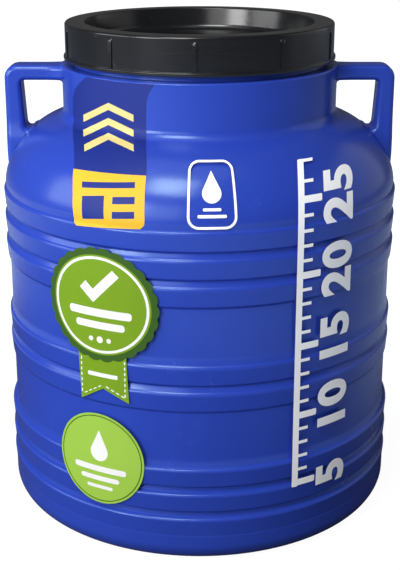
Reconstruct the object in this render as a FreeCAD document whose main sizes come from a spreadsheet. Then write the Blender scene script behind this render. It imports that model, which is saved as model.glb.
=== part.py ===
# Wide-neck plastic barrel of about 30 litres: a blow-moulded barrel with hoops and two loop handles,
# an injection-moulded screw lid with a sunk top, and the flat sealing ring between lid and neck.
# Millimetres. The barrel stands on z = 0 with its axis on +Z, its handles along X and its front towards -Y.
import FreeCAD, Part
import os
import re

import Sketcher
from FreeCAD import Placement, Rotation, Vector

# Driving dimensions: name, value and what it measures. Each stack of lengths starts from the one before it,
# so a change of one size carries along what stands on it, beside it or inside it.
SIZES = (
    ("wall_radius", 167.0, "barrel: outside radius of the plain wall"),
    ("wall", 2.5, "barrel: thickness of wall, shoulder and floor"),
    ("heel_bulge", 3.0, "barrel: how far the heel stands out from the wall"),
    ("heel_round", 16.0, "barrel: rounding of the heel"),
    ("heel_height", 11.1, "barrel: from the heel's round to the lowest hoop"),
    ("heel_chamfer", 5.0, "barrel: slope inside the heel"),
    ("base_ring", 12.0, "barrel: width of the flat ring that the barrel stands on"),
    ("base_lift", 3.0, "barrel: how far the middle of the base is pushed up"),
    ("lower_hoop_bulge", 4.0, "barrel: how far the lower hoops stand out from the wall"),
    ("middle_hoop_bulge", 2.7, "barrel: how far the middle hoops stand out from the wall"),
    ("upper_hoop_bulge", 3.0, "barrel: how far the upper hoops stand out from the wall"),
    ("hoop_pitch", 22.0, "barrel: from one hoop to the next of its group"),
    ("hoop_face", 12.9, "barrel: height of a hoop's face"),
    ("hoop_draft", 2.2, "barrel: how much a hoop's face draws in towards its foot"),
    ("hoop_run_out", 12.9, "barrel: height over which the lowest hoop of a group fades into the wall"),
    ("lower_wall", 30.1, "barrel: plain wall between the lower and the middle hoops"),
    ("upper_wall", 29.7, "barrel: plain wall between the middle and the upper hoops"),
    ("shoulder_bulge", 1.6, "barrel: how far the shoulder stands out from the wall where it begins"),
    ("shoulder_round", 60.0, "barrel: radius of the shoulder's curve"),
    ("collar_fillet", 9.0, "barrel: hollow rounding between shoulder and collar"),
    ("collar_length", 36.08, "barrel: straight height of the collar"),
    ("collar_width", 10.3, "barrel: how far the collar stands out from the neck"),
    ("neck_radius", 106.5, "barrel: outside radius of the neck inside the lid"),
    ("neck_wall", 3.0, "barrel: thickness of the neck"),
    ("neck_length", 29.6, "barrel: from the collar's top to the rim of the mouth"),
    ("handle_inset", 2.8, "handle: from the shoulder's widest place in to the handle's outer side"),
    ("handle_drop", 1.5, "handle: from the collar's top down to the handle's top"),
    ("handle_bar", 13.1, "handle: thickness of the upper bar"),
    ("handle_leg", 13.8, "handle: thickness of the leg at its top"),
    ("handle_flare", 5.0, "handle: how much the leg grows towards the shoulder"),
    ("handle_corner", 11.0, "handle: outer rounding between bar and leg"),
    ("handle_inner_corner", 5.0, "handle: inner rounding between bar and leg"),
    ("handle_depth", 25.0, "handle: width across the hand"),
    ("handle_edge", 3.0, "handle: bevel of the long edges"),
    ("handle_root", 9.0, "handle: how far bar and leg reach into the barrel before it is hollowed"),
    ("thread_room", 3.7, "lid: from the neck out to the inside of the skirt"),
    ("skirt_wall", 3.5, "lid: thickness of the skirt"),
    ("lid_height", 30.4, "lid: from the skirt's lower edge to the top"),
    ("lid_wall", 3.0, "lid: thickness of top, sunk plate and sunk wall"),
    ("lid_edge", 2.0, "lid: bevel of the top edge"),
    ("bead_height", 2.9, "lid: height of the bead round the skirt's lower edge"),
    ("bead_depth", 1.5, "lid: how far the bead stands out"),
    ("plug_clearance", 3.5, "lid: from the inside of the neck in to the sunk wall"),
    ("recess_depth", 18.5, "lid: depth of the sunk plate"),
    ("recess_foot", 3.0, "lid: slope at the foot of the recess"),
    ("rib_count", 10, "lid: number of grip ribs"),
    ("rib_width", 2.5, "lid: width of a grip rib"),
    ("rib_depth", 0.9, "lid: how far a grip rib stands out"),
    ("rib_margin", 4.5, "lid: from the top of a grip rib to the top of the lid"),
    ("rib_angle", 16.4, "lid: angle of the first rib from +X with the lid tight, in degrees"),
    ("ring_thickness", 2.5, "sealing ring: thickness"),
    ("ring_clearance", 0.4, "sealing ring: gap to the lid's walls on either side"),
)

# Places that follow from the sizes: name, formula and what it is.
PLACES = (
    ("groove_height", "hoop_pitch - hoop_face", "barrel: height of the slope above a hoop"),
    ("lower_top", "heel_round + heel_height + 2 * hoop_pitch + hoop_face",
     "barrel: top corner of the lower hoops"),
    ("middle_foot", "lower_top + groove_height + lower_wall + hoop_run_out",
     "barrel: foot of the middle hoops"),
    ("middle_top", "middle_foot + hoop_pitch + hoop_face", "barrel: top corner of the middle hoops"),
    ("upper_foot", "middle_top + groove_height + upper_wall + hoop_run_out",
     "barrel: foot of the upper hoops"),
    ("upper_top", "upper_foot + 2 * hoop_pitch + hoop_face", "barrel: top corner of the upper hoops"),
    ("heel_radius", "wall_radius + heel_bulge", "barrel: outside radius of the heel"),
    ("shoulder_radius", "wall_radius + shoulder_bulge", "barrel: outside radius where the shoulder begins"),
    ("collar_radius", "neck_radius + collar_width", "barrel: outside radius of the collar"),
    ("shoulder_middle", "shoulder_radius - shoulder_round", "barrel: radius of the shoulder curve's middle"),
    ("shoulder_start", "asin(groove_height / shoulder_round)", "barrel: angle at which the shoulder begins"),
    ("fillet_middle", "collar_radius + collar_fillet", "barrel: radius of the collar fillet's middle"),
    ("shoulder_end", "acos((fillet_middle - shoulder_middle) / (shoulder_round + collar_fillet))",
     "barrel: angle at which the shoulder meets the collar's fillet"),
    ("fillet_height", "upper_top + (shoulder_round + collar_fillet) * sin(shoulder_end)",
     "barrel: height of the collar fillet's middle"),
    ("collar_top", "fillet_height + collar_length", "barrel: top of the collar"),
    ("rim_height", "collar_top + neck_length", "barrel: rim of the mouth"),
    ("handle_reach", "shoulder_radius - handle_inset", "handle: outer side, from the axis"),
    ("handle_top", "collar_top - handle_drop", "handle: top side"),
    ("skirt_inside", "neck_radius + thread_room", "lid: inside radius of the skirt"),
    ("lid_radius", "skirt_inside + skirt_wall", "lid: outside radius of the skirt"),
    ("sunk_radius", "neck_radius - neck_wall - plug_clearance", "lid: outside radius of the sunk wall"),
    ("recess_radius", "sunk_radius - lid_wall", "lid: radius of the recess"),
)
NEAR = 0.01

doc = FreeCAD.newDocument("barrel")
sheet = doc.addObject("Spreadsheet::Sheet", "Sizes")
for row, (name, value, meaning) in enumerate(SIZES, 1):
    sheet.set(f"A{row}", meaning)
    sheet.set(f"B{row}", str(value))
    sheet.setAlias(f"B{row}", name)
for row, (name, formula, meaning) in enumerate(PLACES, len(SIZES) + 1):
    sheet.set(f"A{row}", meaning)
    sheet.set(f"B{row}", "=" + formula)
    sheet.setAlias(f"B{row}", name)
doc.recompute()

CELL = re.compile(r"\b(" + "|".join(name for name, _, _ in SIZES + PLACES) + r")\b")


def cells(formula):
    """The formula with each size written as its cell in the sheet."""
    return CELL.sub(r"Sizes.\1", formula)


def size(formula):
    """What the formula comes to with the sheet's present values."""
    return float(sheet.evalExpression(cells(formula)))


def origin(body, role):
    """The origin plane or axis of a body with this role."""
    return next(item for item in body.Origin.OriginFeatures if item.Role == role)


def hold(sketch, line, across, up):
    """Hold the beginning of a line at a place given by two formulas; a plain 0 puts it on that axis."""
    for kind, formula, axis in (("DistanceX", across, -2), ("DistanceY", up, -1)):
        if formula == "0":
            sketch.addConstraint(Sketcher.Constraint("PointOnObject", line, 1, axis))
            continue
        number = sketch.addConstraint(Sketcher.Constraint(kind, -1, 1, line, 1, size(formula)))
        sketch.setExpression(f"Constraints[{number}]", cells(formula))


def draw(sketch, outline):
    """Draw a closed outline of straight lines. Each corner is a pair of formulas, across and up."""
    places = [Vector(size(across), size(up), 0) for across, up in outline]
    lines = [sketch.addGeometry(Part.LineSegment(here, there))
             for here, there in zip(places, places[1:] + places[:1])]
    for line, following in zip(lines, lines[1:] + lines[:1]):
        sketch.addConstraint(Sketcher.Constraint("Coincident", line, 2, following, 1))
    for line, (across, up) in zip(lines, outline):
        hold(sketch, line, across, up)


def bend(middle, radius, start, end, count):
    """Corners of a rounding drawn as this many short straight bands, from one angle to the other."""
    across, up = middle
    angles = [f"({start} + ({end} - {start}) * {step} / {count})" for step in range(count + 1)]
    return [(f"{across} + {radius} * cos({angle})", f"{up} + {radius} * sin({angle})") for angle in angles]


def sketch_on(body, name, role="XZ_Plane"):
    """An empty sketch on one of the body's own origin planes."""
    sketch = body.newObject("Sketcher::SketchObject", name)
    sketch.AttachmentSupport = (origin(body, role), [""])
    sketch.MapMode = "FlatFace"
    doc.recompute()
    return sketch


def turned(body, kind, name, outline):
    """A full turn of an outline about the body's upright axis: Revolution adds it, Groove cuts it."""
    sketch = sketch_on(body, name + "_outline")
    draw(sketch, outline)
    feature = body.newObject("PartDesign::" + kind, name)
    feature.Profile = sketch
    feature.ReferenceAxis = (sketch, ["V_Axis"])
    feature.Angle = 360
    doc.recompute()
    return feature


def bar(body, name, outlines, width):
    """Outlines in the XZ plane made into bars of this width, half on each side of the plane."""
    sketch = sketch_on(body, name + "_outline")
    for outline in outlines:
        draw(sketch, outline)
    pad = body.newObject("PartDesign::Pad", name)
    pad.Profile = sketch
    pad.SideType = "Symmetric"
    pad.setExpression("Length", cells(width))
    doc.recompute()
    return pad


def bevelled(body, name, base, edges, width):
    """Bevel these edges of the feature before."""
    chamfer = body.newObject("PartDesign::Chamfer", name)
    chamfer.Base = (base, edges)
    chamfer.setExpression("Size", cells(width))
    doc.recompute()
    return chamfer


def side_edges(feature, offset):
    """The edges round each of the two side faces of a bar, this far from the XZ plane."""
    distance = size(offset)
    found = []
    for number, edge in enumerate(feature.Shape.Edges, 1):
        sides = [vertex.Y for vertex in edge.Vertexes]
        if abs(abs(sides[0]) - distance) < NEAR and abs(sides[0] - sides[-1]) < NEAR:
            found.append(f"Edge{number}")
    return found


def hoops(group, count):
    """Corners of one group of hoops from its lowest to its highest. Each face draws in towards its foot, and
    a slope above its top corner leads to the foot of the next."""
    radius = f"wall_radius + {group}_hoop_bulge"
    corners = []
    for number in reversed(range(count)):
        upper = f"{group}_top - {number} * hoop_pitch"
        corners += [(f"{radius} - hoop_draft", f"{upper} - hoop_face"), (radius, upper)]
    return corners


# Barrel

def handle(side):
    """One handle seen from the front: a bar out of the collar and a leg down to the shoulder."""
    low = "upper_top + handle_root"
    inner = "handle_reach - handle_leg"
    under = "handle_top - handle_bar"
    outline = [
        ("collar_radius - handle_root", under),
        *reversed(bend((f"{inner} - handle_inner_corner", f"{under} - handle_inner_corner"),
                       "handle_inner_corner", "0 deg", "90 deg", 2)),
        (f"{inner} - handle_flare", low),
        ("handle_reach", low),
        *bend(("handle_reach - handle_corner", "handle_top - handle_corner"),
              "handle_corner", "0 deg", "90 deg", 3),
        ("collar_radius - handle_root", "handle_top"),
    ]
    return outline if side > 0 else [(f"-({across})", up) for across, up in outline]


def make_barrel():
    body = doc.addObject("PartDesign::Body", "barrel_body")
    body.AllowCompound = True
    handles = bar(body, "Handles", [handle(1), handle(-1)], "handle_depth")
    bevelled(body, "HandleEdges", handles, side_edges(handles, "handle_depth / 2"), "handle_edge")

    outside = turned(body, "Revolution", "Outside", [
        ("0", "base_lift"),
        ("heel_radius - heel_round - base_ring - 2 * base_lift", "base_lift"),
        ("heel_radius - heel_round - base_ring", "0"),
        *bend(("heel_radius - heel_round", "heel_round"), "heel_round", "-90 deg", "0 deg", 3),
        ("heel_radius", "heel_round + heel_height - hoop_draft"),
        *hoops("lower", 3),
        ("wall_radius", "lower_top + groove_height"),
        ("wall_radius", "middle_foot - hoop_run_out"),
        *hoops("middle", 2),
        ("wall_radius", "middle_top + groove_height"),
        ("wall_radius", "upper_foot - hoop_run_out"),
        *hoops("upper", 3),
        *bend(("shoulder_middle", "upper_top"), "shoulder_round", "shoulder_start", "shoulder_end", 7),
        *bend(("fillet_middle", "fillet_height"),
              "collar_fillet", "(shoulder_end + 180 deg)", "180 deg", 2)[1:],
        ("collar_radius", "collar_top"),
        ("neck_radius", "collar_top"),
        ("neck_radius", "rim_height"),
        ("0", "rim_height"),
    ])

    inside = "wall_radius - wall"
    floor = "base_lift + wall"
    neck_inside = "neck_radius - neck_wall"
    inner_round = "(shoulder_round - wall)"
    collar_inside = "collar_radius - wall"
    fall = "(shoulder_middle + wall - collar_radius)"
    hollow = turned(body, "Groove", "Hollow", [
        ("0", floor),
        (f"{inside} - heel_chamfer", floor),
        (inside, f"{floor} + heel_chamfer"),
        (inside, "upper_top"),
        *bend(("shoulder_middle", "upper_top"), inner_round, "shoulder_start", "shoulder_end", 3),
        (collar_inside, f"upper_top + ({inner_round} + {fall} * cos(shoulder_end)) / sin(shoulder_end)"),
        (collar_inside, "collar_top - wall"),
        (neck_inside, "collar_top - wall"),
        (neck_inside, "rim_height + wall"),
        ("0", "rim_height + wall"),
    ])
    if hollow.Shape.Volume > outside.Shape.Volume / 3:
        raise RuntimeError("the barrel was not hollowed")
    body.Tip = hollow
    return body


# Lid

def make_lid():
    body = doc.addObject("PartDesign::Body", "screw_lid")
    plate = "lid_height - recess_depth"
    turned(body, "Revolution", "Shell", [
        ("0", f"{plate} - lid_wall"),
        ("sunk_radius", f"{plate} - lid_wall"),
        ("sunk_radius", "lid_height - lid_wall"),
        ("skirt_inside", "lid_height - lid_wall"),
        ("skirt_inside", "0"),
        ("lid_radius + bead_depth", "0"),
        ("lid_radius + bead_depth", "bead_height"),
        ("lid_radius", "bead_height"),
        ("lid_radius", "lid_height - lid_edge"),
        ("lid_radius - lid_edge", "lid_height"),
        ("recess_radius", "lid_height"),
        ("recess_radius", f"{plate} + recess_foot"),
        ("recess_radius - recess_foot", plate),
        ("0", plate),
    ])

    root = "lid_radius - skirt_wall / 2"
    proud = "lid_radius + rib_depth"
    rib = bar(body, "Rib", [[
        (root, "bead_height / 2"),
        (proud, "bead_height / 2"),
        (proud, "lid_height - rib_margin - 2 * rib_depth"),
        (root, "lid_height - rib_margin + skirt_wall / 2 - rib_depth"),
    ]], "rib_width")
    ribs = body.newObject("PartDesign::PolarPattern", "Ribs")
    ribs.Originals = [rib]
    ribs.Axis = (origin(body, "Z_Axis"), [""])
    ribs.Angle = 360
    ribs.setExpression("Occurrences", cells("rib_count"))
    body.Tip = ribs

    body.Placement = Placement(Vector(), Rotation(Vector(0, 0, 1), size("rib_angle")))
    body.setExpression("Placement.Base.z", cells("rim_height + ring_thickness + lid_wall - lid_height"))
    return body


# Sealing ring

def make_ring():
    body = doc.addObject("PartDesign::Body", "sealing_ring")
    inner = "sunk_radius + ring_clearance"
    outer = "skirt_inside - ring_clearance"
    turned(body, "Revolution", "Ring", [
        (inner, "0"),
        (outer, "0"),
        (outer, "ring_thickness"),
        (inner, "ring_thickness"),
    ])
    body.setExpression("Placement.Base.z", cells("rim_height"))
    return body


parts = [make_barrel(), make_lid(), make_ring()]
doc.recompute()

for item in doc.Objects:
    if "Invalid" in item.State or "Error" in item.State:
        raise RuntimeError(f"{item.Name} failed: {item.State}")
os.makedirs("parts", exist_ok=True)
for body in parts:
    if body.Shape.isNull() or not body.Shape.isValid() or len(body.Shape.Solids) != 1:
        raise RuntimeError(f"{body.Label} has no sound shape")
    body.Shape.exportStep(os.path.join("parts", body.Label + ".step"))
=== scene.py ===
# A wide-neck plastic barrel of about 30 litres: a blue moulded barrel with hoops, shoulder, collar and two
# loop handles, films and print on its front, a black screw lid with grip ribs and a sunk top, and its
# sealing ring. Lengths are metres in settings, materials and stage, and millimetres in outlines and print.
import math

import bmesh
import bpy
from bpy.props import FloatProperty, FloatVectorProperty, IntProperty, PointerProperty
from bpy.types import Operator, Panel, PropertyGroup
from mathutils import Matrix, Vector


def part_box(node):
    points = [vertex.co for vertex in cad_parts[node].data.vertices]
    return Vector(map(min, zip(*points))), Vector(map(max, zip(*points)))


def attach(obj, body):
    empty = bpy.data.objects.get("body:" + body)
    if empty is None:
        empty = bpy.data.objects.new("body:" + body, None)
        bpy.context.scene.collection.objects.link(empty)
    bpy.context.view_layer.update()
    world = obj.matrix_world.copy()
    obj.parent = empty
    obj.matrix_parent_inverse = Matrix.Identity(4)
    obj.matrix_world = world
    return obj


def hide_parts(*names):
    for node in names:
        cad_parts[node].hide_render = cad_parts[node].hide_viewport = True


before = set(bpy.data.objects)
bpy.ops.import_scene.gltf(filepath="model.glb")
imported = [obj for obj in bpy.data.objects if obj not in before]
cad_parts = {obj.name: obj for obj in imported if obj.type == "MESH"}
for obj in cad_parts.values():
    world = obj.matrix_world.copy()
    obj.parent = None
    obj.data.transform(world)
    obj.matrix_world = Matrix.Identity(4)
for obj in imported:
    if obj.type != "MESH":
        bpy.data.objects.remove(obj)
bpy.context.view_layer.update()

bl_info = {
    "name": "Plastic Barrel",
    "version": (1, 0, 0),
    "blender": (4, 5, 0),
    "location": "3D View > Sidebar > Barrel",
    "description": "A wide-neck plastic barrel with moulded hoops, loop handles and a screw lid",
    "category": "Object",
}

MM = 0.001
TURN = 2 * math.pi
# Steps of a full turn, and the angle from which an edge stays sharp
STEPS = 192
SHARP = math.radians(32)
# Segments that round a corner, each for a softness below its limit
SEGMENTS = ((1.2, 3), (3, 7), (12, 9), (math.inf, 26))
# Height of the upper edge of the highest hoop, where the shoulder's curve starts
SHOULDER_FOOT = 279.6
# Height of the neck above the collar, and how many turns its thread and the lid's make
NECK_HEIGHT = 29.6
THREAD_TURNS = 1.5
# Thickness of the lid's skirt, and the height of the bead round its foot
SKIRT = 3.5
BEAD_HEIGHT = 2.9
# Width of a handle's bar, and the heights and radii at which it is cut so that it can widen at its ends
HANDLE_WIDTH = 25
FOOT_CUTS = (342, 336, 331, 327, 323, 319)
ROOT_CUTS = (119, 121.5, 124.5, 128, 132)
# The radius at which the flat lengths of print are true
PRINT_RADIUS = 169.5
# How far the face of a printed layer stands off the barrel, and how thick the layer is
INK = (0.05, 0.07)
FIELD = (0.12, 0.14)
MARK = (0.18, 0.08)
# How often a stiff film is drawn tight over the grooves between the hoops
TAUT = 60


def length(name, description, value):
    """A length setting in metres."""
    return FloatProperty(name=name, description=description, default=value, subtype="DISTANCE", unit="LENGTH")


def colour(name, description, value):
    """A colour setting."""
    return FloatVectorProperty(name=name, description=description, default=value, size=3, min=0, max=1,
                               subtype="COLOR")


def tilt(name, description, degrees):
    """An angle setting, given in degrees."""
    return FloatProperty(name=name, description=description, default=math.radians(degrees), subtype="ANGLE",
                         unit="ROTATION")


def power(name, description, value):
    """The power of a lamp in watts."""
    return FloatProperty(name=name, description=description, default=value, subtype="POWER", unit="POWER")


class BarrelSettings(PropertyGroup):
    wall_radius: length("Wall radius", "Outside radius between the hoops", 0.167)
    heel_radius: length("Heel radius", "Outside radius above the rounded heel", 0.170)
    hoop_pitch: length("Hoop pitch", "From one hoop to the next of its group", 0.022)
    hoop_face: length("Hoop face", "Height of a hoop's face", 0.0145)
    wall: length("Wall thickness", "Thickness of wall, shoulder and floor", 0.0025)
    shoulder_round: length("Shoulder round", "Radius of the shoulder's curve", 0.060)
    collar_radius: length("Collar radius", "Outside radius of the collar", 0.1168)
    collar_top: length("Collar top", "Height of the collar's top edge", 0.3825)
    neck_radius: length("Neck radius", "Outside radius of the neck", 0.1065)
    thread_lead: length("Thread lead", "Rise of the thread in one turn", 0.010)
    plastic: colour("Barrel plastic", "Colour of the blue moulding", (0.0195, 0.048, 0.36))


class LidSettings(PropertyGroup):
    radius: length("Lid radius", "Outside radius of the skirt", 0.1137)
    height: length("Lid height", "From the skirt's lower edge to the top", 0.0304)
    foot: length("Lid foot", "Height of the skirt's lower edge above the floor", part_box("screw_lid")[0][2])
    recess_radius: length("Recess radius", "Radius of the sunk plate", 0.097)
    recess_depth: length("Recess depth", "Depth of the sunk plate", 0.0185)
    ribs: IntProperty(name="Grip ribs", description="Number of grip ribs round the skirt", default=10, min=1)
    first_rib: tilt("First rib", "Direction of the first grip rib", 16.4)
    plastic: colour("Lid plastic", "Colour of the black moulding", (0.0072, 0.0076, 0.0086))
    rubber: colour("Ring rubber", "Colour of the sealing ring", (0.045, 0.045, 0.048))


class PrintSettings(PropertyGroup):
    navy: colour("Tab blue", "Colour of the tab's upper field", (0.0068, 0.0195, 0.180))
    yellow: colour("Tab yellow", "Colour of the tab's lower field", (0.67, 0.385, 0.024))
    gold: colour("Tab gold", "Colour of the marks on the tab's upper field", (0.62, 0.52, 0.20))
    leaf: colour("Seal green", "Colour of the round seal", (0.148, 0.270, 0.0068))
    moss: colour("Seal edge", "Colour of the seal's notched edge", (0.030, 0.085, 0.008))
    lime: colour("Disc green", "Colour of the lower disc", (0.275, 0.46, 0.055))
    white: colour("Print white", "Colour of the white print", (0.94, 0.94, 0.94))
    paper: colour("Label white", "Colour of the white marks on the labels", (0.72, 0.72, 0.72))


class StageSettings(PropertyGroup):
    distance: length("Camera distance", "From the barrel's axis to the camera", 0.999)
    height: length("Camera height", "Height of the camera above the floor", 0.5306)
    pitch: tilt("Camera pitch", "How far the camera looks down", 17.36)
    lens: FloatProperty(name="Lens", description="Focal length of the camera in millimetres", default=73.84)
    key: power("Key light", "Power of the light at the upper left", 12.5)
    fill: power("Fill light", "Power of the broad light above", 8.5)
    left: power("Left light", "Power of the broad light at the left", 20.5)
    front: power("Front light", "Power of the dim light before the barrel", 6.5)
    rim: power("Side lights", "Power of the dim light at the right. The left one has twice as much", 6.0)
    room: FloatProperty(name="Room light", description="Brightness of the room around", default=0.10)


# Materials

class Amount:
    """A number that changes over a surface. Sums and products of it add their Math nodes."""

    def __init__(self, finish, socket):
        self.finish = finish
        self.socket = socket

    def sum(self, operation, first, second):
        node = self.finish.node("ShaderNodeMath", {"operation": operation}, {0: first, 1: second})
        return Amount(self.finish, node.outputs[0])

    def __add__(self, other):
        return self.sum("ADD", self, other)

    def __mul__(self, other):
        return self.sum("MULTIPLY", self, other)

    __radd__ = __add__
    __rmul__ = __mul__


class Finish:
    """A material under construction: one shader, and the nodes that vary it over the surface."""

    def __init__(self, name, **plain):
        self.material = bpy.data.materials.new(name)
        self.material.use_nodes = True
        self.tree = self.material.node_tree
        self.tree.nodes.clear()
        self.shader = self.node("ShaderNodeBsdfPrincipled", {}, {})
        output = self.node("ShaderNodeOutputMaterial", {}, {})
        self.tree.links.new(self.shader.outputs[0], output.inputs["Surface"])
        self.set(**plain)
        self.place = self.node("ShaderNodeTexCoord", {}, {}).outputs["Object"]

    def node(self, kind, settings, inputs):
        node = self.tree.nodes.new(kind)
        for key, value in settings.items():
            setattr(node, key, value)
        for key, value in inputs.items():
            self.feed(node.inputs[key], value)
        return node

    def feed(self, socket, value):
        if isinstance(value, Amount):
            value = value.socket
        if isinstance(value, bpy.types.NodeSocket):
            self.tree.links.new(value, socket)
        else:
            socket.default_value = (*value, 1) if socket.type == "RGBA" else value

    def set(self, **values):
        for key, value in values.items():
            self.feed(self.shader.inputs[key.replace("_", " ")], value)

    def grain(self, scale, detail, stretch=(1, 1, 1)):
        """Noise of about this many grains a metre, from 0 to 1."""
        place = self.node("ShaderNodeMapping", {}, {"Vector": self.place, "Scale": stretch}).outputs[0]
        noise = self.node("ShaderNodeTexNoise", {}, {"Vector": place, "Scale": scale, "Detail": detail})
        return Amount(self, noise.outputs["Fac"])

    def window(self, amount, low, high):
        """The amount between low and high, spread softly from 0 to 1."""
        node = self.node("ShaderNodeMapRange", {"interpolation_type": "SMOOTHSTEP"},
                         {"Value": amount, "From Min": low, "From Max": high})
        return Amount(self, node.outputs[0])

    def blend(self, amount, first, second):
        """A colour between two colours, by the Mix node's colour sockets."""
        node = self.node("ShaderNodeMix", {"data_type": "RGBA"}, {"Factor": amount})
        self.feed(node.inputs[6], first)
        self.feed(node.inputs[7], second)
        return node.outputs[2]

    def relief(self, height, depth, below=None):
        """A bump of this height map, depth metres deep."""
        inputs = {"Height": height, "Distance": depth, "Strength": 1.0}
        if below is not None:
            inputs["Normal"] = below
        return self.node("ShaderNodeBump", {}, inputs).outputs[0]


def shade(base, factor):
    """A colour made lighter or darker."""
    return tuple(min(channel * factor, 1) for channel in base)


def barrel_plastic(base):
    """Satin blow-moulded plastic: a soft orange peel, faint rubbed patches and upright draw marks."""
    finish = Finish("barrel_plastic", IOR=1.44, Specular_Tint=(0.68, 0.94, 1.0))
    cloud = finish.grain(9, 2)
    rubbed = finish.window(finish.grain(38, 5), 0.55, 0.75)
    drawn = finish.grain(60, 4, (1, 1, 0.06))
    tone = finish.blend(cloud, shade(base, 0.93), shade(base, 1.07))
    finish.set(Base_Color=finish.blend(rubbed * 0.06, tone, shade(base, 1.5)),
               Roughness=0.20 + 0.05 * cloud + 0.06 * rubbed)
    peel = finish.relief(finish.grain(420, 2), 0.00004)
    finish.set(Normal=finish.relief(drawn, 0.00005, peel))
    return finish.material


def lid_plastic(base):
    """Black injection-moulded plastic with a fine spark-eroded grain, faint flow marks and duller specks."""
    finish = Finish("lid_plastic", IOR=1.48)
    cloud = finish.grain(14, 3)
    dust = finish.window(finish.grain(160, 5), 0.58, 0.80)
    flow = finish.relief(finish.grain(260, 3, (0.05, 0.05, 1)), 0.00010)
    finish.set(Base_Color=finish.blend(dust * 0.25, base, shade(base, 2.2)),
               Roughness=0.17 + 0.06 * cloud + 0.10 * dust,
               Normal=finish.relief(finish.grain(1500, 2), 0.00002, flow))
    return finish.material


def ring_rubber(base):
    """Soft dull rubber with a faint bloom."""
    finish = Finish("ring_rubber", IOR=1.45)
    bloom = finish.window(finish.grain(70, 4), 0.45, 0.80)
    finish.set(Base_Color=finish.blend(bloom * 0.4, base, shade(base, 1.8)),
               Roughness=0.62 + 0.15 * bloom,
               Normal=finish.relief(finish.grain(900, 3), 0.00004))
    return finish.material


def film(name, base):
    """Printed film: even colour with a faint tone of its own and a fine satin surface."""
    finish = Finish(name, IOR=1.3)
    cloud = finish.grain(30, 3)
    finish.set(Base_Color=finish.blend(cloud, shade(base, 0.96), shade(base, 1.03)),
               Roughness=0.45 + 0.12 * cloud,
               Normal=finish.relief(finish.grain(700, 2), 0.00002))
    return finish.material


# Shapes

def path(mesh, corners, closed=False):
    """Draw a wire through corners of the upright half plane. Each is a radius, a height and a softness:
    how far before and after it the corner is rounded away."""
    verts = [mesh.verts.new((radius * MM, 0, height * MM)) for radius, height, _ in corners]
    for first, second in zip(verts, verts[1:] + verts[:1] if closed else verts[1:]):
        mesh.edges.new((first, second))
    for softness in sorted({corner[2] for corner in corners} - {0}):
        soft = [vert for vert, corner in zip(verts, corners) if corner[2] == softness]
        segments = next(count for limit, count in SEGMENTS if softness < limit)
        round_corners(mesh, soft, softness * MM, segments)


def round_corners(mesh, verts, softness, segments):
    """Round flat corners away, this far before and after each."""
    bmesh.ops.bevel(mesh, geom=verts, offset=softness, offset_type="OFFSET", segments=segments, profile=0.5,
                    affect="VERTICES", material=-1, clamp_overlap=False)


def turn(mesh):
    """Turn everything drawn so far once round the upright axis, and close seam and poles."""
    bmesh.ops.spin(mesh, geom=mesh.verts[:] + mesh.edges[:], cent=(0, 0, 0), axis=(0, 0, 1), dvec=(0, 0, 0),
                   angle=TURN, steps=STEPS, use_merge=True, use_duplicate=False)
    bmesh.ops.remove_doubles(mesh, verts=mesh.verts[:], dist=1e-6)
    bmesh.ops.recalc_face_normals(mesh, faces=mesh.faces[:])


def round_edges(mesh, edges, softness, segments, clamp=False):
    """Round edges away, this far on both sides of each."""
    bmesh.ops.bevel(mesh, geom=edges, offset=softness, offset_type="OFFSET", segments=segments, profile=0.5,
                    affect="EDGES", material=-1, clamp_overlap=clamp)


def thicken(mesh, faces, way):
    """Draw faces out to a solid, this far."""
    grown = bmesh.ops.extrude_face_region(mesh, geom=faces, use_keep_orig=True)["geom"]
    bmesh.ops.translate(mesh, vec=way, verts=[item for item in grown if isinstance(item, bmesh.types.BMVert)])


def rotate(mesh, verts, angle, axis):
    """Turn vertices about an axis of the frame."""
    bmesh.ops.rotate(mesh, cent=(0, 0, 0), matrix=Matrix.Rotation(angle, 3, axis), verts=verts)


def cut(mesh, place, across, near=0):
    """Cut everything by a plane. What is this near to it counts as on it."""
    bmesh.ops.bisect_plane(mesh, geom=mesh.verts[:] + mesh.edges[:] + mesh.faces[:], plane_co=place,
                           plane_no=across, dist=near)


def add_piece(name, mesh, body, finish, even=False):
    """Make the finished piece: named, smooth between sharp edges, with its finish, riding on its body."""
    data = bpy.data.meshes.new(name)
    mesh.to_mesh(data)
    mesh.free()
    data.shade_smooth()
    data.set_sharp_from_angle(angle=SHARP)
    piece = bpy.data.objects.new(name, data)
    bpy.context.scene.collection.objects.link(piece)
    data.materials.append(finish)
    if even:
        weighted = piece.modifiers.new("Even shading", "WEIGHTED_NORMAL")
        weighted.keep_sharp = True
    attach(piece, body)
    return piece


def hoops(radius, top, count, settings, crease=True):
    """Corners of a group of hoops from its lowest to its highest: undercut groove, face and ledge of each. A
    crease lies below the lowest one where the group stands out from the wall."""
    pitch, face, wall = settings.hoop_pitch / MM, settings.hoop_face / MM, settings.wall_radius / MM
    corners = []
    for above in reversed(range(count)):
        upper = top - above * pitch
        lower = upper - face
        if above < count - 1:
            corners.append((wall - 0.6, lower - 1.5, 1.0))
        elif crease:
            corners.append((wall + 0.1, lower - 1.6, 0.8))
        corners += [(radius - 1.2, lower, 0.8), (radius, upper, 1.6), (wall + 0.9, upper + 1.7, 0)]
    return corners


def shoulder_middle(settings):
    """Radius and height of the middle of the shoulder's curve."""
    return settings.wall_radius / MM + 1.6 - settings.shoulder_round / MM, SHOULDER_FOOT


def bend_corner(middle, radius, start, end):
    """The corner, and its softness, that rounds off to this arc. Angles are in degrees."""
    half = math.radians(end - start) / 2
    reach = radius / math.cos(half)
    direction = math.radians(start) + half
    return (middle[0] + reach * math.cos(direction), middle[1] + reach * math.sin(direction),
            abs(radius * math.tan(half)))


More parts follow.
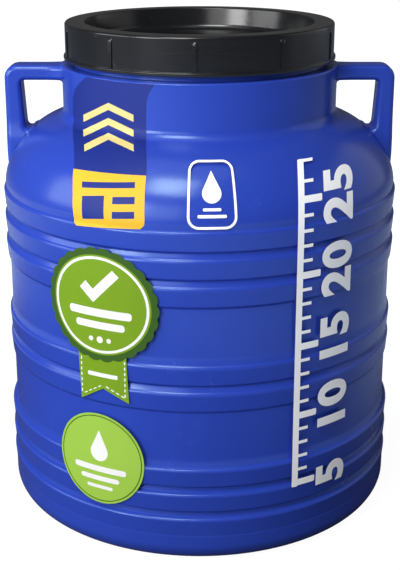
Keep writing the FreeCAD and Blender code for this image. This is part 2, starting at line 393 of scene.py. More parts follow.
def barrel_outline(settings):
    """Corners of the barrel's outside, from the middle of the base up to the collar's top edge."""
    wall, heel = settings.wall_radius / MM, settings.heel_radius / MM
    collar, collar_top = settings.collar_radius / MM, settings.collar_top / MM
    bow, hollow, bare = settings.shoulder_round / MM, 9.0, 6.7
    middle = shoulder_middle(settings)
    end = math.degrees(math.acos((collar + hollow - middle[0]) / (bow + hollow)))
    rise = (bow + hollow) * math.sin(math.radians(end))
    lower = hoops(171.0, 84.0, 3, settings, crease=False)
    upper = hoops(170.0, SHOULDER_FOOT, 3, settings)
    raised, foot_inside, foot_outside = 3, 136, 142
    return [
        (0, raised, 0), (foot_inside, raised, 2.0), (foot_outside, 0, 1.5), (heel, 0, 16.0),
        (heel, 24.7, 0.5), *lower, (wall, 90.9, 1.7),
        (wall, 121.5, 4.0), *hoops(169.7, 171.0, 2, settings), (wall, 177.9, 1.7),
        (wall, 208.1, 4.0), *upper,
        (middle[0] + bow * math.cos(math.asin(bare / bow)), SHOULDER_FOOT + bare, 1.1),
        bend_corner(middle, bow - 0.05, 8.5, end),
        bend_corner((collar + hollow, middle[1] + rise), -hollow, end, 0),
        (collar, collar_top, 1.4),
    ]


def barrel_lining(settings):
    """Corners of the barrel's top and inside, from the neck's foot over the rim down to the floor."""
    inside = (settings.wall_radius - settings.wall) / MM
    neck, wall, top = settings.neck_radius / MM, settings.wall / MM, settings.collar_top / MM
    rim, bore = top + NECK_HEIGHT, neck - 3
    return [
        (neck, top, 0.8), (neck, rim, 0.6), (bore, rim, 0.6), (bore, top - wall, 0.8),
        (114.3, top - wall, 0.8), (114.3, 337.3, 8.5), (161.3, 325.2, 39.0), (inside, 280.0, 1.5),
        (inside, 6.0, 5.0), (0, 6.0, 0),
    ]


def handle_mesh(side, settings):
    """One loop handle: a rounded bar along its outline, wider where it grows out of collar and shoulder."""
    mesh = bmesh.new()
    collar = settings.collar_radius / MM
    corners = [
        (collar - 1.6, 360.2, 0), (collar - 0.3, 361.6, 0), (collar - 0.3, 367.9, 2.6), (152.0, 367.9, 3.6),
        (149.4, 324.6, 6.0), (140.6, 329.9, 0), (150.2, 321.2, 0), (157.9, 311.6, 0), (163.1, 301.6, 0),
        (165.2, 294.6, 0), (165.8, 303.0, 4.0), (165.8, 381.0, 11.0), (collar + 1.4, 381.0, 1.2),
        (collar - 0.2, 382.0, 0), (collar - 1.6, 382.0, 0),
    ]
    path(mesh, corners, closed=True)
    bmesh.ops.translate(mesh, verts=mesh.verts[:], vec=(0, -HANDLE_WIDTH / 2 * MM, 0))
    thicken(mesh, bmesh.ops.contextual_create(mesh, geom=mesh.edges[:])["faces"], (0, HANDLE_WIDTH * MM, 0))
    middle, bow = shoulder_middle(settings), settings.shoulder_round / MM

    def free(edge):
        """Whether an edge of the bar lies outside shoulder and collar."""
        reach = max(math.dist((vert.co.x / MM, vert.co.z / MM), middle) for vert in edge.verts)
        return reach > bow - 0.1 and max(vert.co.x for vert in edge.verts) > (collar - 1) * MM

    rims = [edge for edge in mesh.edges if abs(edge.verts[0].co.y - edge.verts[1].co.y) < 1e-6 and free(edge)]
    round_edges(mesh, rims, 4.5 * MM, 6)
    for height in FOOT_CUTS:
        cut(mesh, (0, 0, height * MM), (0, 0, 1))
    for reach in ROOT_CUTS:
        cut(mesh, (reach * MM, 0, 0), (1, 0, 0))
    leg_inside, leg_start, leg_length, leg_share = 138, 344, 26, 0.30
    bar_foot, bar_start, bar_length, bar_share = 350, 134, 16, 0.24
    for vert in mesh.verts:
        across, up = vert.co.x / MM, vert.co.z / MM
        foot = max(0.0, min((leg_start - up) / leg_length, 1)) ** 2 if across > leg_inside else 0.0
        root = max(0.0, min((bar_start - across) / bar_length, 1)) ** 2 if up > bar_foot else 0.0
        vert.co.y *= 1 + leg_share * foot + bar_share * root
    if side < 0:
        bmesh.ops.scale(mesh, vec=(-1, 1, 1), verts=mesh.verts[:])
    bmesh.ops.recalc_face_normals(mesh, faces=mesh.faces[:])
    return mesh


def thread_mesh(root, crest, foot, lead, height):
    """A screw thread: a ridge that winds upwards from foot and fades at both ends. On the inside of a skirt
    its crest has the smaller radius."""
    steps, fading, sink, least = int(THREAD_TURNS * 96), 14, 0.4, 0.05
    mesh = bmesh.new()
    sunk = root - sink if crest > root else root + sink
    section = [(sunk, -height / 2), (root, -height / 2), (crest, -height / 5), (crest, height / 5),
               (root, height / 2), (sunk, height / 2)]
    verts = [mesh.verts.new((radius * MM, 0, (foot + up) * MM)) for radius, up in section]
    edges = [mesh.edges.new(pair) for pair in zip(verts, verts[1:] + verts[:1])]
    mesh.faces.new(verts)
    rings = [verts]
    for _ in range(steps):
        grown = bmesh.ops.extrude_edge_only(mesh, edges=edges)["geom"]
        verts = [item for item in grown if isinstance(item, bmesh.types.BMVert)]
        edges = [item for item in grown if isinstance(item, bmesh.types.BMEdge)
                 and item.verts[0] in verts and item.verts[1] in verts]
        rotate(mesh, verts, THREAD_TURNS * TURN / steps, "Z")
        bmesh.ops.translate(mesh, vec=(0, 0, THREAD_TURNS * lead * MM / steps), verts=verts)
        rings.append(verts)
    bmesh.ops.contextual_create(mesh, geom=edges)
    for step, ring in enumerate(rings):
        fade = min(step / fading, (steps - step) / fading, 1)
        for vert in ring:
            radius = math.hypot(vert.co.x, vert.co.y) / MM
            wanted = sunk + (radius - sunk) * max(fade, least)
            vert.co.x *= wanted / radius
            vert.co.y *= wanted / radius
    bmesh.ops.recalc_face_normals(mesh, faces=mesh.faces[:])
    return mesh


def lid_outline(settings):
    """Corners of the lid from the middle of the plate's underside round skirt and rim to its upper side."""
    radius, height, foot = settings.radius / MM, settings.height / MM, settings.foot / MM
    recess = settings.recess_radius / MM
    plate = height - settings.recess_depth / MM
    wall, bead = 3, radius + 1.5
    corners = [
        (0, plate - wall, 0), (recess + wall, plate - wall, 1.0), (recess + wall, height - wall, 0.5),
        (radius - SKIRT, height - wall, 0.8), (radius - SKIRT, 0, 0.3), (bead, 0, 0.7),
        (bead, BEAD_HEIGHT, 0.7), (radius, BEAD_HEIGHT, 0.4), (radius, height, 2.0), (recess, height, 1.0),
        (recess - 2.6, plate + 2.6, 1.5), (recess - 5, plate, 1.5), (0, plate, 0),
    ]
    return [(across, foot + up, softness) for across, up, softness in corners]


def ribs_mesh(settings):
    """The grip ribs: a rounded rib with a slanted top, repeated about the lid, and a flat pip at each top."""
    radius, foot, top = settings.radius / MM, settings.foot / MM, settings.height / MM - 4.5
    back, front, start, slant, width = radius - 0.5, radius + 0.9, 2.0, 1.4, 3.2
    mesh = bmesh.new()
    slab(mesh, [(back, start), (front, start), (front, top - slant), (back, top)])
    round_corners(mesh, [vert for vert in mesh.verts if abs(vert.co.y - top + slant) < 1e-6], 1.0, 4)
    thicken(mesh, mesh.faces[:], (0, 0, width))
    bmesh.ops.translate(mesh, vec=(0, foot, -width / 2), verts=mesh.verts[:])
    bmesh.ops.scale(mesh, vec=(MM, MM, MM), verts=mesh.verts[:])
    rotate(mesh, mesh.verts[:], math.radians(90), "X")
    upright = [edge for edge in mesh.edges if abs(edge.verts[0].co.z - edge.verts[1].co.z) > 5 * MM
               and edge.verts[0].co.x > (radius + 0.5) * MM]
    round_edges(mesh, upright, 0.85 * MM, 5, clamp=True)
    rotate(mesh, mesh.verts[:], settings.first_rib, "Z")
    others = settings.ribs - 1
    bmesh.ops.spin(mesh, geom=mesh.verts[:] + mesh.edges[:] + mesh.faces[:], cent=(0, 0, 0), axis=(0, 0, 1),
                   dvec=(0, 0, 0), angle=TURN * others / settings.ribs, steps=others, use_merge=False,
                   use_duplicate=True)
    bmesh.ops.recalc_face_normals(mesh, faces=mesh.faces[:])
    out, up = radius - 0.2, foot + top - 0.8
    tipped, flattened = Matrix.Rotation(math.radians(63), 4, "Y"), Matrix.Diagonal((2.3, 2.3, 1.0, 1))
    for rib in range(settings.ribs):
        turned = settings.first_rib + TURN * rib / settings.ribs
        place = Matrix.Translation(Vector((out * math.cos(turned), out * math.sin(turned), up)) * MM)
        bmesh.ops.create_uvsphere(mesh, u_segments=28, v_segments=16, radius=1.0 * MM,
                                  matrix=place @ Matrix.Rotation(turned, 4, "Z") @ tipped @ flattened)
    return mesh


# Print

class Skin:
    """The barrel's outside as print sees it: radius and height by the length along its outline."""

    def __init__(self, corners, taut=0):
        wire = bmesh.new()
        path(wire, corners)
        vert = min(wire.verts, key=lambda item: item.co.x)
        seen, points = set(), []
        while vert is not None:
            seen.add(vert)
            points.append((vert.co.x / MM, vert.co.z / MM))
            others = [edge.other_vert(vert) for edge in vert.link_edges]
            vert = next((other for other in others if other not in seen), None)
        wire.free()
        # Print starts above the rounded heel, so the base is left out
        self.points = [point for point in points if point[0] > 150 or point[1] > 20]
        self.measure()
        if taut:
            self.stretch(taut)

    def measure(self):
        """Add up the lengths from the outline's first point to each."""
        self.lengths = [0.0]
        for here, there in zip(self.points, self.points[1:]):
            self.lengths.append(self.lengths[-1] + math.dist(here, there))

    def stretch(self, rounds):
        """Let a stiff film bridge narrow grooves, as it does on the real hoops."""
        count = int(self.lengths[-1])
        points = [self.at(step) for step in range(count)]
        radii = [radius for radius, _ in points]
        span, smoothings, heel, shoulder = 6, 4, 40, 300
        for _ in range(rounds):
            radii = [max(radius, (radii[max(step - span, 0)] + radii[min(step + span, count - 1)]) / 2)
                     for step, radius in enumerate(radii)]
        for _ in range(smoothings):
            near = [radii[max(step - span, 0):step + span + 1] for step in range(count)]
            radii = [sum(values) / len(values) for values in near]
        stand_off = max(point[0] - radius for point, radius in zip(points, radii)
                        if heel < point[1] < shoulder)
        self.points = [(radius + stand_off, height) for radius, (_, height) in zip(radii, points)]
        self.measure()

    def at(self, along):
        """Radius and height this far along the outline."""
        last = len(self.points) - 2
        number = next((step for step, end in enumerate(self.lengths[1:]) if end >= along), last)
        span = self.lengths[number + 1] - self.lengths[number]
        part = (along - self.lengths[number]) / span
        here, there = self.points[number], self.points[number + 1]
        return tuple(low + (high - low) * part for low, high in zip(here, there))

    def along(self, height):
        """How far along the outline this height is."""
        number = next(step for step, point in enumerate(self.points[1:]) if point[1] >= height)
        here, there = self.points[number], self.points[number + 1]
        part = (height - here[1]) / (there[1] - here[1])
        return self.lengths[number] + part * (self.lengths[number + 1] - self.lengths[number])

    def place(self, angle, along, lift):
        """The point of the surface at this angle from the front, lifted off it."""
        radius, height = self.at(along)
        reach = 0.6
        before, after = self.at(along - reach), self.at(along + reach)
        slope = Vector((after[0] - before[0], after[1] - before[1])).normalized()
        radius += lift * slope.y
        height -= lift * slope.x
        turned = math.radians(angle)
        return Vector((radius * math.sin(turned), -radius * math.cos(turned), height)) * MM


def slab(mesh, points, softness=0.0, segments=4):
    """A flat field with these corners."""
    verts = [mesh.verts.new((x, y, 0)) for x, y in points]
    mesh.faces.new(verts)
    if softness:
        round_corners(mesh, verts, softness, segments)


def bar(mesh, left, right, low, high, softness=0.0):
    """A flat bar between these sides."""
    slab(mesh, [(left, low), (right, low), (right, high), (left, high)], softness)


def disc(mesh, x, y, radius, segments):
    """A flat disc about this place."""
    bmesh.ops.create_circle(mesh, cap_ends=True, segments=segments, radius=radius,
                            matrix=Matrix.Translation((x, y, 0)))


def hoop(mesh, radius, width, segments):
    """A flat ring about the middle."""
    made = bmesh.ops.create_circle(mesh, cap_ends=True, segments=segments, radius=radius)
    face = list({face for vert in made["verts"] for face in vert.link_faces})
    bmesh.ops.inset_region(mesh, faces=face, thickness=width, use_even_offset=True, use_boundary=True)
    bmesh.ops.delete(mesh, geom=face, context="FACES")


def drop(mesh, x, y, size):
    """A plain drop, point upwards."""
    radius, reach, steps = 0.40 * size, 0.95 * size, 28
    first = math.acos(radius / reach)
    turned = [math.pi / 2 + first + (TURN - 2 * first) * step / steps for step in range(steps + 1)]
    around = [(x + radius * math.cos(angle), y + radius * math.sin(angle)) for angle in turned]
    slab(mesh, [(x, y + reach)] + around)


def number(mesh, text, x, y, size):
    """A plain number that reads upwards, centred here, a little bolder and wider set than the font."""
    curve = bpy.data.curves.new(text, "FONT")
    curve.body = text
    curve.size = size
    curve.offset = 0.04 * size
    curve.space_character = 1.09
    curve.align_x = "CENTER"
    curve.align_y = "CENTER"
    holder = bpy.data.objects.new(text, curve)
    bpy.context.scene.collection.objects.link(holder)
    bpy.context.view_layer.update()
    data = bpy.data.meshes.new_from_object(holder)
    before = set(mesh.verts)
    mesh.from_mesh(data)
    made = [vert for vert in mesh.verts if vert not in before]
    rotate(mesh, made, math.radians(90), "Z")
    bmesh.ops.translate(mesh, vec=(x, y, 0), verts=made)
    bpy.data.objects.remove(holder)
    bpy.data.curves.remove(curve)
    bpy.data.meshes.remove(data)


def lay(mesh, skin, centre, level, thickness, upright=False):
    """Cut the flat fields as finely as the barrel's surface and lay them on it at a level. Flat lengths are
    millimetres from the centre, which is an angle and a height. Without a centre they are degrees and lengths
    along the outline. Upright print doesn't lean inwards with the shoulder."""
    bmesh.ops.remove_doubles(mesh, verts=mesh.verts[:], dist=1e-4)
    bmesh.ops.triangulate(mesh, faces=mesh.faces[:])
    angle, start = (centre[0], skin.along(centre[1])) if centre else (0, 0)
    per_degree = math.radians(1) * PRINT_RADIUS if centre else 1
    xs = [vert.co.x for vert in mesh.verts]
    ys = [vert.co.y for vert in mesh.verts]
    step, near = 360 / STEPS, 1e-5
    first = math.ceil((angle + min(xs) / per_degree) / step)
    last = math.floor((angle + max(xs) / per_degree) / step)
    for line in range(first, last + 1):
        cut(mesh, ((line * step - angle) * per_degree, 0, 0), (1, 0, 0), near)
    for end in skin.lengths:
        if min(ys) < end - start < max(ys):
            cut(mesh, (0, end - start, 0), (0, 1, 0), near)
    thicken(mesh, mesh.faces[:], (0, 0, 1))
    bmesh.ops.recalc_face_normals(mesh, faces=mesh.faces[:])
    for vert in mesh.verts:
        on_face = vert.co.z > 0.5
        lift = level if on_face else level - thickness
        turned, along = angle + vert.co.x / per_degree, start + vert.co.y
        if upright:
            across = PRINT_RADIUS * math.sin(math.radians(turned))
            turned = math.degrees(math.asin(min(across / skin.at(along)[0], 1)))
        vert.co = skin.place(turned, along, lift)


def printed(name, fields, finish):
    """One printed piece from several laid fields."""
    whole = bmesh.new()
    for mesh in fields:
        data = bpy.data.meshes.new("field")
        mesh.to_mesh(data)
        mesh.free()
        whole.from_mesh(data)
        bpy.data.meshes.remove(data)
    return add_piece(name, whole, "barrel", finish)


class BARREL_OT_shell(Operator):
    """Make the barrel with its hoops, shoulder, collar and neck, both handles and the neck's thread"""
    bl_idname = "barrel.shell"
    bl_label = "Barrel"

    def execute(self, context):
        settings = context.scene.barrel_settings
        plastic = barrel_plastic(settings.plastic)
        mesh = bmesh.new()
        path(mesh, barrel_outline(settings) + barrel_lining(settings))
        turn(mesh)
        shell = add_piece("barrel_shell", mesh, "barrel", plastic, even=True)
        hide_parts("barrel_body")
        for name, side in (("right_handle", 1), ("left_handle", -1)):
            handle = add_piece(name, handle_mesh(side, settings), "barrel", plastic,
                               even=True)
            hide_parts("barrel_body")
        neck = settings.neck_radius / MM
        ridge = thread_mesh(neck, neck + 2.9, foot=390.5, lead=settings.thread_lead / MM, height=4.6)
        thread = add_piece("neck_thread", ridge, "barrel", plastic)
        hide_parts("barrel_body")
        return {"FINISHED"}


class BARREL_OT_lid(Operator):
    """Make the screw lid with its ribs and inside thread"""
    bl_idname = "barrel.lid"
    bl_label = "Screw lid"

    def execute(self, context):
        settings = context.scene.lid_settings
        plastic = lid_plastic(settings.plastic)
        mesh = bmesh.new()
        path(mesh, lid_outline(settings))
        turn(mesh)
        shell = add_piece("lid_shell", mesh, "lid", plastic, even=True)
        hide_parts("screw_lid")
        ribs = add_piece("lid_ribs", ribs_mesh(settings), "lid", plastic)
        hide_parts("screw_lid")
        radius, foot = settings.radius / MM, settings.foot / MM
        lead = context.scene.barrel_settings.thread_lead / MM
        ridge = thread_mesh(radius - SKIRT, radius - 6.4, foot + BEAD_HEIGHT, lead, height=4.2)
        thread = add_piece("lid_thread", ridge, "lid", plastic)
        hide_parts("screw_lid")
        return {"FINISHED"}


class BARREL_OT_ring(Operator):
    """Make the sealing ring under the lid"""
    bl_idname = "barrel.ring"
    bl_label = "Sealing ring"

    def execute(self, context):
        low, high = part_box("sealing_ring")
        outer, bottom, top = high[0] / MM, low[2] / MM, high[2] / MM
        inner = outer - 9.4
        mesh = bmesh.new()
        path(mesh, [(inner, bottom, 0.5), (outer, bottom, 0.7), (outer, top, 0.7), (inner, top, 0.5)],
             closed=True)
        turn(mesh)
        ring = add_piece("sealing_ring_soft", mesh, "ring", ring_rubber(context.scene.lid_settings.rubber),
                         even=True)
        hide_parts("sealing_ring")
        return {"FINISHED"}


# The tab's fields and marks: degrees from the front, and heights
TAB_UPPER = (
    (-50.0, 381.4), (-55.1, 375.6), (-59.7, 368.4), (-62.0, 360.0), (-62.4, 350.6), (-62.5, 346.7),
    (-59.5, 339.8), (-51.4, 335.8), (-45.7, 331.2), (-42.2, 325.9), (-39.8, 320.0), (-39.2, 317.4),
    (-15.2, 318.8), (-15.5, 322.7), (-16.4, 328.6), (-17.8, 334.0), (-20.0, 338.8), (-20.8, 345.8),
    (-20.7, 353.6), (-20.6, 366.1), (-20.0, 371.6), (-18.9, 376.3), (-16.9, 381.4),
)
TAB_LOWER = (
    (-39.2, 317.4), (-37.3, 308.0), (-36.15, 300.2), (-35.1, 287.0), (-34.8, 280.6), (-33.6, 278.2),
    (-15.3, 281.2), (-14.2, 284.4), (-14.1, 287.3), (-14.5, 303.1), (-15.2, 318.8),
)
CHEVRONS = (
    ((-53.1, 349.9), (-48.6, 353.7), (-44.6, 357.2), (-41.0, 360.6), (-37.6, 363.8), (-34.5, 362.1),
     (-31.6, 360.3), (-28.7, 358.5), (-26.0, 356.7), (-26.0, 351.2), (-28.8, 353.0), (-31.6, 354.8),
     (-34.6, 356.5), (-37.7, 358.2), (-41.1, 355.0), (-44.7, 351.6), (-48.7, 348.0), (-53.0, 344.2)),
    ((-50.5, 339.0), (-48.1, 341.9), (-44.8, 345.1), (-41.2, 348.6), (-37.8, 351.8), (-34.7, 350.2),
     (-31.7, 348.5), (-28.9, 346.7), (-26.1, 344.9), (-25.4, 340.0), (-28.5, 341.5), (-31.5, 343.1),
     (-34.7, 344.6), (-37.9, 346.2), (-41.0, 343.1), (-43.6, 340.2), (-45.1, 337.9), (-45.6, 336.1)),
    ((-41.5, 332.4), (-40.4, 334.5), (-39.5, 336.4), (-38.7, 338.1), (-37.0, 340.4), (-33.4, 339.2),
     (-29.9, 338.0), (-26.4, 337.1), (-23.2, 336.0), (-21.6, 332.5), (-24.3, 333.7), (-27.3, 334.9),
     (-30.6, 335.9), (-34.2, 336.9), (-35.2, 335.1), (-36.4, 333.1), (-37.7, 331.0), (-39.1, 328.8)),
)
TAB_BARS = (
    ((-34.3, 310.3), (-18.0, 314.2), (-17.7, 310.3), (-33.7, 306.2)),
    ((-32.9, 300.7), (-26.1, 303.1), (-25.4, 286.4), (-32.0, 283.9)),
    ((-23.6, 302.9), (-17.3, 304.4), (-17.1, 299.4), (-23.4, 297.9)),
    ((-23.2, 292.4), (-17.0, 294.1), (-16.9, 289.0), (-23.1, 287.2)),
)


class BARREL_OT_tab(Operator):
    """Lay the two-coloured tab on shoulder and collar, with plain marks"""
    bl_idname = "barrel.tab"
    bl_label = "Tab"

    def execute(self, context):
        colours = context.scene.print_settings
        skin = Skin(barrel_outline(context.scene.barrel_settings))
        for name, outlines, layer, finish in (
            ("tab_upper_field", (TAB_UPPER,), FIELD, film("film_navy", colours.navy)),
            ("tab_lower_field", (TAB_LOWER,), (0.13, 0.15), film("film_yellow", colours.yellow)),
            ("tab_upper_marks", CHEVRONS, MARK, film("film_gold", colours.gold)),
            ("tab_lower_marks", TAB_BARS, (0.19, 0.08), film("film_navy_marks", colours.navy)),
        ):
            fields = []
            for outline in outlines:
                mesh = bmesh.new()
                slab(mesh, [(angle, skin.along(height)) for angle, height in outline])
                lay(mesh, skin, None, *layer)
                fields.append(mesh)
            printed(name, fields, finish)
        return {"FINISHED"}


class BARREL_OT_seal(Operator):
    """Lay the round notched seal and its ribbon on the upper hoops, with plain marks"""
    bl_idname = "barrel.seal"
    bl_label = "Seal"

    def execute(self, context):
        colours = context.scene.print_settings
        skin = Skin(barrel_outline(context.scene.barrel_settings), TAUT)
        centre, wide, across = (-27.2, 216.8), 1.07, 41.0
        leaf, moss, white = (film("film_leaf", colours.leaf), film("film_moss", colours.moss),
                             film("film_seal_white", colours.paper))

        ribbon = bmesh.new()
        slab(ribbon, [(-19, -82), (2.0, -69.5), (24.5, -79), (22.5, -38), (-21, -38)])
        lay(ribbon, skin, centre, *FIELD)
        printed("seal_ribbon", [ribbon], leaf)

        stitches = bmesh.new()
        for step in range(7):
            up = 4.6 * step
            bar(stitches, -18.6, -17.6, -76 + up, -73.4 + up)
            bar(stitches, 20.7, 21.7, -74 + up, -71.4 + up)
        for step in range(4):
            x, y = -15.5 + 4.4 * step, -77.0 + 2.6 * step
            slab(stitches, [(x, y), (x + 2.6, y + 1.5), (x + 2.2, y + 2.2), (x - 0.4, y + 0.7)])
            x, y = 4.4 + 4.4 * step, -67.8 - 1.9 * step
            slab(stitches, [(x, y), (x + 2.6, y - 1.1), (x + 3.0, y - 0.3), (x + 0.4, y + 0.8)])
        bar(stitches, -12, 15, -60, -56.6, 1.0)
        lay(stitches, skin, centre, *MARK)

        rosette = bmesh.new()
        disc(rosette, 0, 0, 1, 240)
        notches = 26
        for vert in rosette.verts:
            turned = math.atan2(vert.co.y, vert.co.x)
            reach = 45.0 + 1.9 * abs(math.cos(notches / 2 * turned)) ** 0.8
            vert.co = Vector((wide * reach * math.cos(turned), reach * math.sin(turned), 0))
        lay(rosette, skin, centre, 0.20, 0.14)
        printed("seal_edge", [rosette], moss)

        plate = bmesh.new()
        disc(plate, 0, 0, across, 96)
        bmesh.ops.scale(plate, vec=(wide, 1, 1), verts=plate.verts[:])
        lay(plate, skin, centre, 0.27, 0.10)
        printed("seal_plate", [plate], leaf)

        marks = bmesh.new()
        hoop(marks, across - 1.5, 2.1, 96)
        bmesh.ops.scale(marks, vec=(wide, 1, 1), verts=marks.verts[:])
        slab(marks, [(-17, 13), (-5, 2), (18, 25), (12.5, 30), (-5, 12.8), (-11.5, 18.8)])
        bar(marks, -28, 28, -9.5, -3.0, 2.5)
        bar(marks, -22, 22, -19.5, -13.6, 2.5)
        for x in (-8, 0, 8):
            disc(marks, x, -28.5, 2.0 if x else 2.8, 20)
        lay(marks, skin, centre, 0.33, 0.08)
        printed("seal_marks", [stitches, marks], white)
        return {"FINISHED"}


class BARREL_OT_disc(Operator):
    """Lay the round light disc on the lower hoops, with plain marks"""
    bl_idname = "barrel.disc"
    bl_label = "Disc"

    def execute(self, context):
        colours = context.scene.print_settings
        skin = Skin(barrel_outline(context.scene.barrel_settings), TAUT)
        centre = (-28.2, 85.0)
        plate = bmesh.new()
        disc(plate, 0, 0, 39.4, 96)
        lay(plate, skin, centre, *FIELD)
        printed("disc_plate", [plate], film("film_lime", colours.lime))
        line = bmesh.new()
        hoop(line, 37.6, 0.8, 96)
        lay(line, skin, centre, *MARK)
        printed("disc_line", [line], film("film_disc_line", colours.moss))
        marks = bmesh.new()
        drop(marks, 0, 6, 20)
        bar(marks, -24, 24, -11.5, -6.5, 2.0)
        bar(marks, -18, 18, -19.5, -15.3, 2.0)
        bar(marks, -12, 12, -26.5, -23.5, 1.4)
        lay(marks, skin, centre, *MARK)
        printed("disc_marks", [marks], film("film_disc_white", colours.paper))
        return {"FINISHED"}


class BARREL_OT_scale(Operator):
    """Print the white content scale at the right and the plain outlined sign in the middle"""
    bl_idname = "barrel.scale"
    bl_label = "Content scale"

    def execute(self, context):
        settings = context.scene.barrel_settings
        skin = Skin(barrel_outline(settings), TAUT)
        white = film("print_white", context.scene.print_settings.white)
        foot, head, empty = 64.3, 325.5, 5.5
        start = skin.along(foot)
        scale = bmesh.new()
        bar(scale, -30, -24.5, -3.5, skin.along(head) - start + 1.4, 1.0)
        area = math.pi * ((settings.wall_radius - settings.wall) / MM) ** 2
        # The ticks follow the content of the straight wall. The two on the shoulder are placed one by one.
        on_shoulder = {26: 312.0, 27: head}
        for litres in range(5, 28):
            height = on_shoulder.get(litres, empty + litres * 1e6 / area)
            y = skin.along(height) - start
            if litres % 5:
                bar(scale, -25.0, -16, y - 1.3, y + 1.3)
            else:
                bar(scale, -25.0, -8, y - 2.8, y + 2.8, 1.0)
                number(scale, str(litres), 11.5, y, 42)
        lay(scale, skin, (36.2, foot), *INK, upright=True)
        printed("content_scale", [scale], white)

        sign = bmesh.new()
        slab(sign, [(-19, -27), (19, -27), (19, 27), (-19, 27)], 9.0, 8)
        face = sign.faces[:]
        bmesh.ops.inset_region(sign, faces=face, thickness=1.9, use_even_offset=True, use_boundary=True)
        bmesh.ops.delete(sign, geom=face, context="FACES")
        drop(sign, 0, 0, 19)
        bar(sign, -11, 11, -18.6, -16.2, 0.8)
        bar(sign, -7, 7, -13.4, -11.2, 0.8)
        lay(sign, skin, (3.2, 308.5), *INK)
        printed("plain_sign", [sign], white)
        return {"FINISHED"}


# Stage

# The lamps: name, setting, share of the setting's power, width and height, place, and where each points
LAMPS = (
    ("key_box", "key", 1.0, (0.50, 0.52), (-0.36, -0.90, 1.45), (0, 0, 0.30)),
    ("left_box", "left", 1.0, (0.64, 0.75), (-1.27, -1.40, 0.84), (0, 0, 0.25)),
    ("front_box", "front", 1.0, (0.90, 0.80), (-0.75, -1.85, 0.85), (0, 0, 0.25)),
    ("top_fill", "fill", 1.0, (1.6, 1.6), (-0.45, -0.7, 2.0), (0, 0, 0.2)),
    ("right_wall", "rim", 1.0, (2.4, 1.6), (2.00, 0.55, 0.90), (0, 0, 0.25)),
    ("left_wall", "rim", 2.0, (1.0, 0.9), (-1.60, -0.40, 0.80), (0, 0, 0.25)),
)
# The floor: half its width, its colour near the barrel, which is painted shade, and its colour far from it,
# the place from which far is measured, where the far colour starts and where it is full, and its strength to
# the camera, where 1 is white
FLOOR_REACH = 12
FLOOR_PAINTED_SHADE = (0.06, 0.06, 0.06)
FLOOR_FAR = (0.66, 0.78, 0.98)
FLOOR_MIDDLE = (-0.20, -0.12, 0)
FLOOR_BLEND = (0.38, 0.75)
FLOOR_WHITE = 0.96
# The camera: its sensor in millimetres, its shift in shares of the frame, and the nearest place it sees
SENSOR_WIDTH = 36
SHIFT = (0.0007, -0.0702)
CLIP_START = 0.05


def add_floor(scene):
    """A pale floor that looks white to the camera, is painted dark near the barrel as shade, and throws a
    cool light up from its far parts.
    """
    mesh = bmesh.new()
    bmesh.ops.create_grid(mesh, x_segments=1, y_segments=1, size=FLOOR_REACH)
    data = bpy.data.meshes.new("floor")
    mesh.to_mesh(data)
    mesh.free()
    floor = bpy.data.objects.new("floor", data)
    scene.collection.objects.link(floor)
    finish = Finish("floor_white", Roughness=0.9)
    reach = finish.node("ShaderNodeVectorMath", {"operation": "DISTANCE"},
                        {0: finish.place, 1: FLOOR_MIDDLE}).outputs["Value"]
    far = finish.window(reach, *FLOOR_BLEND)
    # Painted shade: the floor's colour is dark near the barrel, where its shadow falls, and pale further out
    finish.set(Base_Color=finish.blend(far, FLOOR_PAINTED_SHADE, FLOOR_FAR))
    seen = finish.node("ShaderNodeLightPath", {}, {})
    finish.set(Emission_Color=(1.0, 1.0, 1.0),
               Emission_Strength=Amount(finish, seen.outputs["Is Camera Ray"]) * FLOOR_WHITE)
    data.materials.append(finish.material)


def add_lamps(scene):
    """The soft boxes of LAMPS, each turned to what it lights."""
    for name, setting, share, size, place, target in LAMPS:
        lamp = bpy.data.lights.new(name, "AREA")
        lamp.shape = "RECTANGLE"
        lamp.size, lamp.size_y = size
        lamp.energy = getattr(scene.stage_settings, setting) * share
        holder = bpy.data.objects.new(name, lamp)
        holder.location = place
        holder.rotation_euler = (Vector(target) - Vector(place)).to_track_quat("-Z", "Y").to_euler()
        scene.collection.objects.link(holder)


def add_room(scene):
    """A dim white room that the camera sees as plain white."""
    world = bpy.data.worlds.new("room")
    world.use_nodes = True
    tree = world.node_tree
    tree.nodes.clear()
    output = tree.nodes.new("ShaderNodeOutputWorld")
    mix = tree.nodes.new("ShaderNodeMixShader")
    room = tree.nodes.new("ShaderNodeBackground")
    backdrop = tree.nodes.new("ShaderNodeBackground")
    ray = tree.nodes.new("ShaderNodeLightPath")
    for background in (room, backdrop):
        background.inputs["Color"].default_value = (1, 1, 1, 1)
    room.inputs["Strength"].default_value = scene.stage_settings.room
    tree.links.new(ray.outputs["Is Camera Ray"], mix.inputs[0])
    tree.links.new(room.outputs[0], mix.inputs[1])
    tree.links.new(backdrop.outputs[0], mix.inputs[2])
    tree.links.new(mix.outputs[0], output.inputs["Surface"])
    scene.world = world


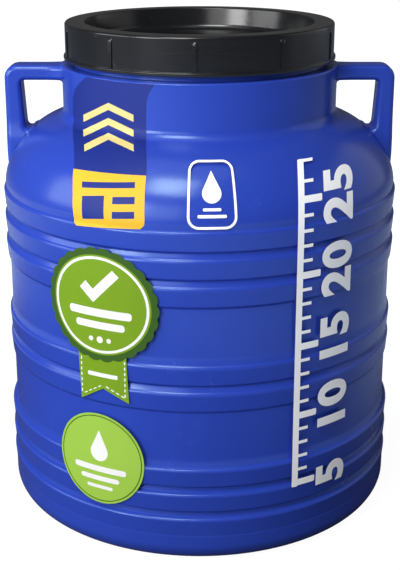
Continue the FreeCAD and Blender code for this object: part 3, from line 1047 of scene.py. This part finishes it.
def add_camera(scene):
    """The camera before the barrel, at the photograph's viewing angle."""
    settings = scene.stage_settings
    camera = bpy.data.cameras.new("camera")
    camera.lens = settings.lens
    camera.sensor_width = SENSOR_WIDTH
    camera.shift_x, camera.shift_y = SHIFT
    camera.clip_start = CLIP_START
    holder = bpy.data.objects.new("camera", camera)
    holder.location = (0, -settings.distance, settings.height)
    holder.rotation_euler = (math.radians(90) - settings.pitch, 0, 0)
    scene.collection.objects.link(holder)
    scene.camera = holder


class BARREL_OT_stage(Operator):
    """Set the pale floor, the soft lights and the camera"""
    bl_idname = "barrel.stage"
    bl_label = "Stage"

    def execute(self, context):
        add_floor(context.scene)
        add_lamps(context.scene)
        add_room(context.scene)
        add_camera(context.scene)
        context.scene.view_settings.view_transform = "Standard"
        return {"FINISHED"}


OPERATORS = (BARREL_OT_stage, BARREL_OT_shell, BARREL_OT_lid, BARREL_OT_ring, BARREL_OT_tab, BARREL_OT_seal,
             BARREL_OT_disc, BARREL_OT_scale)


class BARREL_PT_panel(Panel):
    """The barrel's pieces and their settings"""
    bl_idname = "BARREL_PT_panel"
    bl_label = "Plastic barrel"
    bl_space_type = "VIEW_3D"
    bl_region_type = "UI"
    bl_category = "Barrel"

    def draw(self, context):
        for operator in OPERATORS:
            self.layout.operator(operator.bl_idname)
        for group in GROUPS:
            settings = getattr(context.scene, group)
            box = self.layout.box()
            for name in settings.bl_rna.properties.keys():
                if name not in ("rna_type", "name"):
                    box.prop(settings, name)


GROUPS = {"barrel_settings": BarrelSettings, "lid_settings": LidSettings, "print_settings": PrintSettings,
          "stage_settings": StageSettings}


def register():
    for item in (*GROUPS.values(), *OPERATORS, BARREL_PT_panel):
        bpy.utils.register_class(item)
    for name, group in GROUPS.items():
        setattr(bpy.types.Scene, name, PointerProperty(type=group))


def unregister():
    for name in GROUPS:
        delattr(bpy.types.Scene, name)
    for item in (BARREL_PT_panel, *OPERATORS, *GROUPS.values()):
        bpy.utils.unregister_class(item)


def main():
    register()
    bpy.ops.barrel.stage()
    bpy.ops.barrel.shell()
    bpy.ops.barrel.lid()
    bpy.ops.barrel.ring()
    bpy.ops.barrel.tab()
    bpy.ops.barrel.seal()
    bpy.ops.barrel.disc()
    bpy.ops.barrel.scale()


if __name__ == "__main__":
    main()
